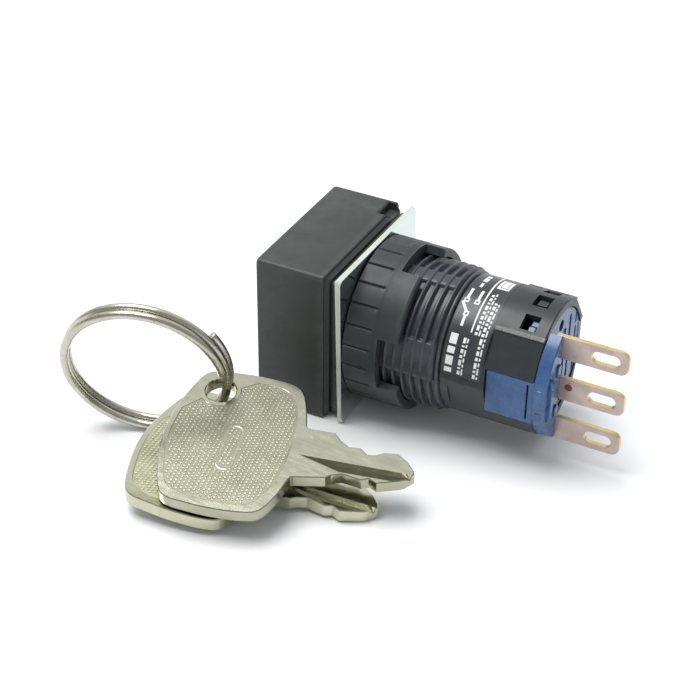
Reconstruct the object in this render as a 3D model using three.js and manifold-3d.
// Panel-mounted selector key switch, lying on its side with its two keys on a split ring.
// Millimetres. +Y runs along the switch from the key side to the terminals, +Z is up,
// and +X is the side on which the keys lie. Inside the group below, the switch's own axis
// is x = 0, z = 0, with y = 0 at the back of the square bezel; the last lines move the
// whole group so that the origin is under the middle of the object, on its resting plane.
import * as THREE from "three";
import { mergeVertices } from "three/addons/utils/BufferGeometryUtils.js";
import { RoundedBoxGeometry } from "three/addons/geometries/RoundedBoxGeometry.js";
import Module from "manifold-3d";

// ---------------------------------------------------------------- driving dimensions
const SEGMENTS = 40; // facets round the larger turned parts
const FINE = 24; // facets round the smaller turned parts

const BEZEL = { width: 18, depth: 8, edge: 0.5 };
const FLANGE = { width: 17.1, depth: 1.5 };
const GASKET = { width: 18, front: 1.55, back: 2.05, bore: 8.1, pressed: 0.05 };
const BARREL = { root: 7.45, crest: 7.95, pitch: 1.03, crests: 9, lastCrest: 11.87, end: 12.6 };
const BARREL_BORE = 5.6;
const LANDS = [81, 10, 261, 190]; // middles of the smooth strips in the thread, degrees
const LAND_WIDTHS = [14, 34, 14, 34];
const NUT = { radius: 9, bore: 8.05, front: 2.1, band: 5.3, notch: 6.1, back: 8.35 };
const NUT_NOTCHES = [0, 90, 180, 270]; // middles of the four spanner notches, degrees
const NOTCH_WIDTH = 40;
const FLUTE = { count: 24, width: 1.6, depth: 0.12, first: 9.5 };

const HOUSING = { radius: 7.4, inner: 6.5, front: 12.7, back: 22.95, wall: 0.9, hole: 5.7 };
const FLATS = { lower: 20.7, lowerAt: 7, upper: 35, upperAt: 7.08, upperFrom: 17.5 };
const WINDOWS = { angles: [64.5, 90, 115.5], width: 14.5, front: 19.9, back: 21.6 };
const LATCH = { front: 17.7, low: -2.95, high: 2.3, face: 7.02 };
const BASE = { radius: 7.3, plug: 6.42, front: 20.6, face: 22.8, rim: 23.05, back: 24.5, rib: 24.85 };
const BASE_SLOT = 0.31; // half width of the slots that hold the terminals
const SPARE_SLOT = { x: -3.3, half: 0.25, reach: 4.6, depth: 1.2 };
const TERMINAL = { x: 3.25, thick: 0.5, half: 1.4, spacing: 5, shoulder: 23.7, tip: 31.6 };
const ROOT_RELIEF = 0.03; // a terminal's root is this much thinner inside the base
const TERMINAL_HOLE = { y: 29.15, radius: 0.65, straight: 0.85 };

const LOCK = { flange: 6.2, face: -8.9, seat: -7.05, body: 5.5, bore: 4.26, back: 8 };
const PLUG = { radius: 4.2, front: -8.6, groove: 8.08, back: 8.6, tail: 1.6, tailEnd: 11.2 };
const KEYWAY = { width: 1.9, height: 4.9, back: 0.7 };
const WAFER = { half: 1.8, thick: 0.8, pitch: 1.45, first: -6.3, count: 5, radius: 4.05 };
const CAM = { radius: 5.3, front: 8.7, back: 13.4, rise: 0.39, pocketY: 10.6 };
const PUSHER = { x: 3.2, z: 3.2, foot: 13.6, tip: 18.5 };
const PLATE = { radius: 6.44, front: 16.6, back: 17.2 };
const LEVER = { pivot: 18.9, thick: 0.3, half: 4.9, tilt: 3.5 };
const CONTACT = { z: 4.2, radius: 0.6, face: 19.79, foot: 20.25 };

const KEY = { thick: 1.5, axis: 6.12, hole: 1.75, neck: 3.3 };
const RING = { radius: 8.584, wire: 0.98, pitch: 1.03, turns: 2.07, start: 215 };
const RING_PLACE = { at: [20.572, -14.517, 0.075], yaw: 17.4, lean: 11.6 };
const KEY_A_PLACE = { at: [17.955, -7.193, -1.899], yaw: -13.78, roll: 11.53, nose: 2.16 };
const KEY_B_PLACE = { at: [17.654, -9.605, -5.268], yaw: -7.03, roll: 3.62, nose: 4.81 };

const BLACK = 0x3a3d40;
const BLUE = 0x3f74bd;
const NICKEL = 0xb9b99a;
const STEEL = 0x9a9c98;
const BRASS = 0xb99b5a;
const SILVER = 0xd5d7d8;
const PALE = 0xdde0d2;

// ---------------------------------------------------------------- small tools
const wasm = await Module();
wasm.setup();

const radians = THREE.MathUtils.degToRad;

// A closed three.js geometry as a solid that can be cut and joined.
function solidOf(shape) {
  if (!shape.isBufferGeometry) return shape;
  const bare = shape.index ? shape.toNonIndexed() : shape.clone();
  bare.deleteAttribute("normal");
  bare.deleteAttribute("uv");
  const merged = mergeVertices(bare, 1e-4);
  const corners = Array.from(merged.index.array);
  const triVerts = [];
  for (let i = 0; i < corners.length; i += 3) {
    const [a, b, c] = corners.slice(i, i + 3);
    if (a !== b && b !== c && a !== c) triVerts.push(a, b, c);
  }
  const vertProperties = merged.attributes.position.array;
  return new wasm.Manifold(
    new wasm.Mesh({ numProp: 3, vertProperties, triVerts: new Uint32Array(triVerts) }),
  );
}

function geometryOf(solid) {
  if (solid.isBufferGeometry) return solid;
  const mesh = solid.getMesh();
  const geometry = new THREE.BufferGeometry();
  geometry.setAttribute("position", new THREE.BufferAttribute(mesh.vertProperties, 3));
  geometry.setIndex(new THREE.BufferAttribute(mesh.triVerts, 1));
  geometry.computeVertexNormals();
  return geometry;
}

function cut(base, ...tools) {
  return tools.reduce((left, tool) => left.subtract(solidOf(tool)), solidOf(base));
}

function join(base, ...others) {
  return others.reduce((whole, other) => whole.add(solidOf(other)), solidOf(base));
}

function common(first, second) {
  return solidOf(first).intersect(solidOf(second));
}

function block(x0, x1, y0, y1, z0, z1) {
  const geometry = new THREE.BoxGeometry(x1 - x0, y1 - y0, z1 - z0);
  return geometry.translate((x0 + x1) / 2, (y0 + y1) / 2, (z0 + z1) / 2);
}

// A round bar along Y.
function bar(radius, y0, y1, segments = SEGMENTS) {
  const geometry = new THREE.CylinderGeometry(radius, radius, y1 - y0, segments);
  return geometry.translate(0, (y0 + y1) / 2, 0);
}

// A body turned about Y from [radius, y] points that start and end on the axis
// or close on themselves, listed with y rising along the outside.
function turned(profile, segments = SEGMENTS) {
  return new THREE.LatheGeometry(
    profile.map(([radius, y]) => new THREE.Vector2(radius, y)),
    segments,
  );
}

function tube(inner, outer, y0, y1, segments = SEGMENTS) {
  const profile = [
    [inner, y0],
    [outer, y0],
    [outer, y1],
    [inner, y1],
    [inner, y0],
  ];
  return turned(profile, segments);
}

const AXIS_X = new THREE.Vector3(1, 0, 0);
const AXIS_Y = new THREE.Vector3(0, 1, 0);
const AXIS_Z = new THREE.Vector3(0, 0, 1);
const PRISM_FRAMES = {
  x: new THREE.Matrix4().makeBasis(AXIS_Y, AXIS_Z, AXIS_X),
  y: new THREE.Matrix4().makeBasis(AXIS_X, AXIS_Z, AXIS_Y.clone().negate()),
  z: new THREE.Matrix4(),
};

function pathOf(points, PathClass = THREE.Shape) {
  return new PathClass(points.map(([a, b]) => new THREE.Vector2(a, b)));
}

// A straight prism along an axis; the outline holds [y, z], [x, z] or [x, y] points.
function prism(axis, outline, from, to, holes = []) {
  const shape = pathOf(outline);
  shape.holes = holes.map((hole) => pathOf(hole, THREE.Path));
  const geometry = new THREE.ExtrudeGeometry(shape, { depth: to - from, bevelEnabled: false });
  geometry.applyMatrix4(PRISM_FRAMES[axis]);
  const start = axis === "y" ? to : from;
  const shift = { x: [start, 0, 0], y: [0, start, 0], z: [0, 0, start] }[axis];
  return geometry.translate(...shift);
}

// Points of a round stretch, from one angle to another in degrees.
function arc(a, b, radius, from, to, steps = 8) {
  return Array.from({ length: steps + 1 }, (_, i) => {
    const angle = radians(from + ((to - from) * i) / steps);
    return [a + radius * Math.cos(angle), b + radius * Math.sin(angle)];
  });
}

// Angles about the switch's axis run from +X towards +Z.
function atAngle(geometry, degrees) {
  return geometry.rotateY(radians(-degrees));
}

function sector(r0, r1, middle, width, y0, y1, steps = 8) {
  const from = middle - width / 2;
  const to = middle + width / 2;
  const outline = [...arc(0, 0, r1, from, to, steps), ...arc(0, 0, r0, to, from, steps)];
  return prism("y", outline, y0, y1);
}

// What lies beyond a flat whose outward normal is at the given angle.
function beyondFlat(distance, middle, y0, y1) {
  return atAngle(block(distance, distance + 4, y0, y1, -4, 4), middle);
}

// A radial pin or pocket at an angle, from one radius to another.
function radialBar(radius, from, to, y, degrees) {
  const geometry = new THREE.CylinderGeometry(radius, radius, to - from, 12);
  geometry.rotateZ(radians(-90));
  geometry.translate((from + to) / 2, y, 0);
  return atAngle(geometry, degrees);
}

// Round wire along a helix; point(t) gives the centre line for t from 0 to 1.
function wound(point, wire, steps, sides) {
  class Helix extends THREE.Curve {
    getPoint(t, target = new THREE.Vector3()) {
      return target.set(...point(t));
    }
  }
  return new THREE.ExtrudeGeometry(pathOf(arc(0, 0, wire / 2, 0, 360, sides).slice(0, -1)), {
    steps,
    extrudePath: new Helix(),
    bevelEnabled: false,
  });
}

const switchGroup = new THREE.Group();

function piece(name, shape, color, roughness, metalness, parent = switchGroup) {
  const material = new THREE.MeshStandardMaterial({ color, roughness, metalness });
  const mesh = new THREE.Mesh(geometryOf(shape), material);
  mesh.name = name;
  parent.add(mesh);
  return mesh;
}

// ---------------------------------------------------------------- bezel and barrel
function threadProfile() {
  const profile = [];
  for (let i = BARREL.crests - 1; i >= 0; i -= 1) {
    const y = BARREL.lastCrest - i * BARREL.pitch;
    profile.push([BARREL.root, y - BARREL.pitch * 0.36]);
    profile.push([BARREL.crest, y - BARREL.pitch * 0.1]);
    profile.push([BARREL.crest, y + BARREL.pitch * 0.1]);
    profile.push([BARREL.root, y + BARREL.pitch * 0.36]);
  }
  return profile;
}

function operatorBody() {
  const bezel = new RoundedBoxGeometry(BEZEL.width, BEZEL.depth, BEZEL.width, 2, BEZEL.edge);
  bezel.translate(0, -BEZEL.depth / 2, 0);
  const f = FLANGE.width / 2;
  const flange = block(-f, f, -BEZEL.edge - 0.1, FLANGE.depth, -f, f);
  const barrel = turned([
    [0, -1],
    [BARREL.root, -1],
    ...threadProfile(),
    [BARREL.root + 0.2, BARREL.end],
    [0, BARREL.end],
  ]);
  const lands = LANDS.map((middle, i) =>
    sector(4, BARREL.crest - 0.12, middle, LAND_WIDTHS[i], 1, BARREL.end - 0.3),
  );
  const bore = bar(BARREL_BORE, -BEZEL.depth - 1, BARREL.end + 1);
  const faceRecess = bar(LOCK.flange + 0.1, -BEZEL.depth - 1, LOCK.seat + 1);
  const rearNotch = block(-f - 1, -f + 1.6, 0.1, FLANGE.depth + 1, 4.4, 7.2);
  const track = tube(BARREL_BORE - 1, 5.93, CAM.pocketY - 0.85, CAM.pocketY + 0.85, FINE * 2);
  const dimples = [90, 0].map((degrees) => radialBar(0.66, 5.2, 6.1, CAM.pocketY, degrees));
  const solid = join(bezel, flange, barrel, ...lands);
  return cut(solid, bore, faceRecess, rearNotch, track, ...dimples);
}

// ---------------------------------------------------------------- seal and nut
// A soft square sheet, pressed in a little where the nut bears on it.
function gasket() {
  const g = GASKET.width / 2;
  const outline = [
    [-g, -g],
    [g, -g],
    [g, g],
    [-g, g],
  ];
  const bore = arc(0, 0, GASKET.bore, 0, 360, SEGMENTS).slice(0, -1);
  const sheet = prism("y", outline, GASKET.front, GASKET.back, [bore]);
  const underNut = bar(NUT.radius + 0.1, GASKET.back - GASKET.pressed, GASKET.back + 1);
  return cut(sheet, underNut);
}

function lockingNut() {
  const ring = tube(NUT.bore, NUT.radius, NUT.front, NUT.back, 48);
  const notches = NUT_NOTCHES.map((middle) =>
    sector(7, 12, middle, NOTCH_WIDTH, NUT.notch, NUT.back + 1, 6),
  );
  const flutes = Array.from({ length: FLUTE.count }, (_, i) => {
    const middle = (i * 360) / FLUTE.count + FLUTE.first;
    return sector(NUT.radius - FLUTE.depth, NUT.radius + 1, middle, FLUTE.width, 1, NUT.band, 1);
  });
  return cut(ring, ...notches, ...flutes);
}

// ---------------------------------------------------------------- rear housing and base
function contactHousing() {
  const { radius, inner, front, back, wall, hole } = HOUSING;
  const shell = turned([
    [hole, front],
    [radius - 0.15, front],
    [radius, front + 0.15],
    [radius, back],
    [inner, back],
    [inner, front + wall],
    [hole, front + wall],
    [hole, front],
  ]);
  const lowerFlats = [-FLATS.lower, 180 + FLATS.lower].map((middle) =>
    beyondFlat(FLATS.lowerAt, middle, front - 1, back + 1),
  );
  const upperFlats = [FLATS.upper, 180 - FLATS.upper].map((middle) =>
    beyondFlat(FLATS.upperAt, middle, FLATS.upperFrom, back + 1),
  );
  const ribs = [52.5, 127.5].map((middle) =>
    sector(inner + 0.5, radius + 0.18, middle, 3.2, FLATS.upperFrom, back, 2),
  );
  const windows = WINDOWS.angles.map((middle) =>
    sector(inner - 0.5, 8, middle, WINDOWS.width, WINDOWS.front, WINDOWS.back, 3),
  );
  const latches = [-1, 1].map((side) => {
    const far = Math.min(side * 4, side * 9);
    return block(far, far + 5, LATCH.front, back + 1, LATCH.low, LATCH.high);
  });
  return cut(join(cut(shell, ...lowerFlats, ...upperFlats), ...ribs), ...windows, ...latches);
}

// A plug flush with the shell's end, stepped up on the near side to a rim beside the terminals.
function terminalBase() {
  const x0 = TERMINAL.x - BASE_SLOT;
  const x1 = TERMINAL.x + BASE_SLOT;
  const beyond = BASE.rib + 1;
  const nearSide = block(x0, 9, BASE.front, beyond, -9, 9);
  const plug = bar(BASE.plug, BASE.front, BASE.face);
  const neck = common(bar(BASE.plug, BASE.face - 0.1, BASE.rim + 0.1), nearSide);
  const rim = common(bar(BASE.radius, BASE.rim, BASE.back), nearSide);
  const rib = block(5.75, 6.45, BASE.back - 0.1, BASE.rib, -2.6, 2.6);
  const low = LATCH.low + 0.05;
  const high = LATCH.high - 0.05;
  const tongues = [
    block(5.3, LATCH.face, LATCH.front + 0.05, BASE.rim + 0.1, low, high),
    block(-LATCH.face, -5.3, LATCH.front + 0.05, BASE.face, low, high),
  ];
  const openSlots = [
    block(x0, x1, BASE.front - 1, beyond, 3.54, 9),
    block(x0, x1, BASE.front - 1, beyond, -9, -3.54),
    block(x0, x1, BASE.front - 1, beyond, -TERMINAL.half - 0.06, TERMINAL.half + 0.06),
    block(x0, x1, BASE.face, beyond, -9, 9),
  ];
  const { x, half, reach, depth } = SPARE_SLOT;
  const spareSlot = block(x - half, x + half, BASE.face - depth, beyond, -reach, reach);
  return cut(join(plug, neck, rim, rib, ...tongues), ...openSlots, spareSlot);
}

// ---------------------------------------------------------------- terminals and contacts
function terminalHole(z) {
  const { y, radius, straight } = TERMINAL_HOLE;
  return [...arc(y + straight, z, radius, -90, 90, 6), ...arc(y - straight, z, radius, 90, 270, 6)];
}

// A flat terminal: a narrow root inside, and a wide blade with cut corners outside.
function blade(rootStart, rootLow, rootHigh, z) {
  const { half, shoulder, tip, x, thick } = TERMINAL;
  const corner = 0.85;
  const outline = [
    [rootStart, rootLow],
    [shoulder, rootLow],
    [shoulder, z - half],
    [tip - corner, z - half],
    [tip, z - half + corner],
    [tip, z + half - corner],
    [tip - corner, z + half],
    [shoulder, z + half],
    [shoulder, rootHigh],
    [rootStart, rootHigh],
  ];
  return prism("x", outline, x - thick / 2, x + thick / 2, [terminalHole(z)]);
}

// Thins the near face of a terminal inside the base.
function relieved(terminal) {
  const face = TERMINAL.x + TERMINAL.thick / 2;
  return cut(terminal, block(face - ROOT_RELIEF, face + 1, BASE.front - 4, BASE.rib + 0.05, -9, 9));
}

function outerTerminal(side) {
  const z = side * TERMINAL.spacing;
  const low = side > 0 ? 3.65 : -5.15;
  const root = blade(CONTACT.foot + 0.1, low, low + 1.5, z);
  const middle = side * CONTACT.z;
  const foot = block(2.5, 4, CONTACT.foot, CONTACT.foot + 0.25, middle - 0.7, middle + 0.7);
  return join(relieved(root), foot);
}

function commonTerminal() {
  const x0 = TERMINAL.x - TERMINAL.thick / 2;
  const x1 = TERMINAL.x + TERMINAL.thick / 2;
  const edge = block(x0, x1, LEVER.pivot + 0.23, BASE.front + 0.3, -0.4, 0.4);
  const root = TERMINAL.half - 0.02;
  return relieved(join(blade(BASE.front + 0.15, -root, root, 0), edge));
}

function fixedContact(side) {
  const button = bar(CONTACT.radius, CONTACT.face, CONTACT.foot - 0.02, 12);
  return button.translate(TERMINAL.x, 0, side * CONTACT.z);
}

// The lever and its buttons are drawn about the lever's pivot.
function contactLever() {
  const half = LEVER.thick / 2;
  return block(-0.85, 0.85, -half, half, -LEVER.half, LEVER.half);
}

function movingContact(side) {
  const face = LEVER.thick / 2;
  return bar(CONTACT.radius, face + 0.02, face + 0.4, 12).translate(0, 0, side * CONTACT.z);
}

// ---------------------------------------------------------------- lock
function lockShell() {
  const { flange, face, seat, body, bore, back } = LOCK;
  const shell = turned([
    [bore, face],
    [flange - 0.5, face],
    [flange, face + 0.5],
    [flange, seat],
    [body, seat],
    [body, back],
    [bore, back],
    [bore, face],
  ]);
  const w = WAFER.half + 0.12;
  const deep = 4.95;
  const y0 = WAFER.first - WAFER.thick;
  const y1 = WAFER.first + WAFER.count * WAFER.pitch;
  return cut(shell, block(-w, w, y0, y1, -deep, deep), block(-deep, deep, y0, y1, -w, w));
}

function waferY(i) {
  return WAFER.first + i * WAFER.pitch;
}

function lockPlug() {
  const { radius, front, groove, back, tail, tailEnd } = PLUG;
  const body = turned([
    [0, front],
    [radius - 0.3, front],
    [radius, front + 0.3],
    [radius, groove],
    [3.4, groove],
    [3.4, back],
    [0, back],
  ]);
  const half = KEYWAY.width / 2;
  const high = KEYWAY.height / 2;
  const keyway = block(-half, half, front - 1, KEYWAY.back, -high, high);
  const w = WAFER.half + 0.08;
  const deep = WAFER.thick / 2 + 0.08;
  const slots = Array.from({ length: WAFER.count }, (_, i) =>
    block(-w, w, waferY(i) - deep, waferY(i) + deep, -5, 5),
  );
  const drive = block(-tail, tail, back - 0.5, tailEnd, -tail, tail);
  return cut(join(body, drive), keyway, ...slots);
}

function wafer(i) {
  const { half, thick, radius } = WAFER;
  const y0 = waferY(i) - thick / 2;
  const y1 = waferY(i) + thick / 2;
  const plate = common(block(-half, half, y0, y1, -5, 5), bar(radius, y0 - 1, y1 + 1, FINE));
  return cut(plate, block(-1.05, 1.05, y0 - 1, y1 + 1, -2.5, 2.5));
}

function sealRing() {
  return turned(arc(5.9, -6.52, 0.34, 0, 360, 8), 32);
}

function retainingClip() {
  return cut(tube(3.46, 5, 8.12, 8.52, FINE), block(-1.6, 1.6, 7, 9, -6, -1));
}

// A sector on the back of the cam that climbs evenly over a quarter turn.
function camRamp() {
  const start = 30;
  const sweep = 120;
  const climbFrom = 45;
  const ramp = new THREE.BoxGeometry(1, 1, 1, 1, 1, 16);
  const at = ramp.attributes.position;
  for (let i = 0; i < at.count; i += 1) {
    const degrees = start + sweep * (at.getZ(i) + 0.5);
    const radius = at.getX(i) > 0 ? 5.25 : 3.75;
    const climbed = THREE.MathUtils.clamp((degrees - climbFrom) / 90, 0, 1) * CAM.rise;
    const y = CAM.back + (at.getY(i) > 0 ? 0.1 + climbed : -0.4);
    at.setXYZ(i, radius * Math.cos(radians(degrees)), y, radius * Math.sin(radians(degrees)));
  }
  return ramp;
}

function driveCam() {
  const t = PLUG.tail + 0.08;
  const rotor = join(bar(CAM.radius, CAM.front, CAM.back), camRamp());
  const socket = block(-t, t, CAM.front - 1, PLUG.tailEnd + 0.2, -t, t);
  return cut(rotor, socket, radialBar(0.9, 2.4, 7, CAM.pocketY, 90));
}

function detentSpring() {
  const turns = 3.5;
  const centreLine = (t) => {
    const angle = 2 * Math.PI * turns * t;
    return [0.6 * Math.cos(angle), CAM.pocketY + 0.6 * Math.sin(angle), 2.56 + 1.55 * t];
  };
  return wound(centreLine, 0.22, turns * 12, 6);
}

// ---------------------------------------------------------------- pusher and its plate
function contactPusher() {
  const { x, z, foot, tip } = PUSHER;
  const square = (half, y0, y1) => block(x - half, x + half, y0, y1, z - half, z + half);
  return join(square(0.6, foot, foot + 0.45), square(1, foot + 0.4, 14.3), square(0.45, 14.2, tip));
}

function mechanismPlate() {
  const { x, z } = PUSHER;
  const guide = block(x - 0.5, x + 0.5, PLATE.front - 1, PLATE.back + 1, z - 0.5, z + 0.5);
  return cut(bar(PLATE.radius, PLATE.front, PLATE.back), guide);
}

function pusherSpring() {
  const turns = 4;
  const centreLine = (t) => {
    const angle = 2 * Math.PI * turns * t;
    return [PUSHER.x + 0.85 * Math.cos(angle), 14.45 + 2 * t, PUSHER.z + 0.85 * Math.sin(angle)];
  };
  return wound(centreLine, 0.24, turns * 12, 6);
}

// ---------------------------------------------------------------- keys and ring
// A key lies in its own plane with its hole at the origin and its blade along +Y.
// The head is alike on both sides of the blade, so half of its outline is mirrored.
const HALF_HEAD = [
  [KEY.neck, 10.3],
  [3.6, 9.9],
  [6.1, 9.2],
  [8.2, 8.1],
  [8.85, 6.3],
  [9.05, 3.5],
  [8.95, 1],
  [8.55, -1.6],
  [6.9, -2.75],
  [3.2, -3.75],
];
const HALF_HEAD_END = [0, -4.05];
const NEAR_BITTING = [
  [1.08, 21.06],
  [1.33, 20.66],
  [2.15, 18.5],
  [1.76, 17.6],
  [2.09, 16.9],
  [1.8, 14.9],
  [2.21, 13.85],
  [2.63, 13.37],
];
const FAR_BITTING = [
  [-3.3, 12.95],
  [-2.5, 13.7],
  [-1.85, 14.7],
  [-1.97, 15.9],
  [-1.33, 16.7],
  [-1.44, 17.55],
  [-1.95, 18.4],
  [-2.12, 19.75],
  [-1.31, 20.9],
  [-0.3, 21.75],
  [0.13, 21.9],
];

function keyShape() {
  const point = ([across, along]) => new THREE.Vector2(KEY.axis + across, along);
  const mirrored = HALF_HEAD.map(([across, along]) => [-across, along]).reverse();
  const head = [...HALF_HEAD, HALF_HEAD_END, ...mirrored];
  const shape = new THREE.Shape();
  const start = point(head[0]);
  shape.moveTo(start.x, start.y);
  shape.splineThru(head.slice(1).map(point));
  for (const corner of [...FAR_BITTING, ...NEAR_BITTING].map(point)) {
    shape.lineTo(corner.x, corner.y);
  }
  shape.closePath();
  shape.holes = [pathOf(arc(0, 0, KEY.hole, 0, 360, FINE).slice(0, -1), THREE.Path)];
  return shape;
}

function key() {
  const depth = KEY.thick;
  const plate = new THREE.ExtrudeGeometry(keyShape(), {
    depth,
    curveSegments: 2,
    bevelEnabled: false,
  });
  const groove = block(0.5, 1.9, 12.4, 23, -0.4, 1).translate(KEY.axis, 0, 0);
  return cut(plate.translate(0, 0, -depth), groove);
}

function keyRing() {
  const { radius, wire, pitch, turns, start } = RING;
  const centreLine = (t) => {
    const angle = radians(start - 360 * turns * t);
    return [radius * Math.cos(angle), radius * Math.sin(angle), (t - 0.5) * turns * pitch];
  };
  return wound(centreLine, wire, 60, 8);
}

// A group at a place, turned by yaw about +Z first, then tilted.
function placed([x, y, z], aboutX, aboutY, aboutZ) {
  const group = new THREE.Group();
  group.position.set(x, y, z);
  group.rotation.set(radians(aboutX), radians(aboutY), radians(aboutZ), "ZXY");
  switchGroup.add(group);
  return group;
}

// ---------------------------------------------------------------- assembly
piece("operator_body", operatorBody(), BLACK, 0.6, 0);
piece("lock_shell", lockShell(), SILVER, 0.25, 0.9);
piece("o_ring", sealRing(), BLACK, 0.8, 0);
piece("lock_plug", lockPlug(), SILVER, 0.3, 0.9);
for (let i = 0; i < WAFER.count; i += 1) {
  piece(`wafer_${i + 1}`, wafer(i), BRASS, 0.35, 0.9);
}
piece("retaining_clip", retainingClip(), STEEL, 0.4, 0.9);
piece("drive_cam", driveCam(), PALE, 0.5, 0);
piece("detent_ball", new THREE.SphereGeometry(0.8, 16, 10).translate(0, 10.6, 5.1), SILVER, 0.2, 1);
piece("detent_spring", detentSpring(), STEEL, 0.35, 0.9);
piece("panel_gasket", gasket(), PALE, 0.6, 0);
piece("locking_nut", lockingNut(), BLACK, 0.6, 0);
piece("contact_housing", contactHousing(), BLACK, 0.6, 0);
piece("mechanism_plate", mechanismPlate(), PALE, 0.5, 0);
piece("contact_pusher", contactPusher(), PALE, 0.5, 0);
piece("pusher_spring", pusherSpring(), STEEL, 0.35, 0.9);
piece("terminal_base", terminalBase(), BLUE, 0.45, 0);
piece("terminal_nc", outerTerminal(-1), BRASS, 0.35, 0.9);
piece("terminal_common", commonTerminal(), BRASS, 0.35, 0.9);
piece("terminal_no", outerTerminal(1), BRASS, 0.35, 0.9);
piece("fixed_contact_nc", fixedContact(-1), SILVER, 0.3, 0.9);
piece("fixed_contact_no", fixedContact(1), SILVER, 0.3, 0.9);

const leverGroup = placed([TERMINAL.x, LEVER.pivot, 0], LEVER.tilt, 0, 0);
piece("contact_lever", contactLever(), BRASS, 0.35, 0.9, leverGroup);
piece("moving_contact_nc", movingContact(-1), SILVER, 0.3, 0.9, leverGroup);
piece("moving_contact_no", movingContact(1), SILVER, 0.3, 0.9, leverGroup);

const ringGroup = placed(RING_PLACE.at, -90 - RING_PLACE.lean, 0, RING_PLACE.yaw - 90);
piece("key_ring", keyRing(), NICKEL, 0.25, 0.95, ringGroup);
const keyPlaces = { key_a: KEY_A_PLACE, key_b: KEY_B_PLACE };
for (const [name, { at, yaw, roll, nose }] of Object.entries(keyPlaces)) {
  piece(name, key(), NICKEL, 0.3, 0.95, placed(at, -nose, roll, -yaw));
}

// The origin goes under the middle of the object's box, on its lowest plane.
const group = new THREE.Group();
group.add(switchGroup);
group.updateMatrixWorld(true);
const box = new THREE.Box3().setFromObject(group, true);
const middle = box.getCenter(new THREE.Vector3());
switchGroup.position.set(-middle.x, -middle.y, -box.min.z);

export default group;
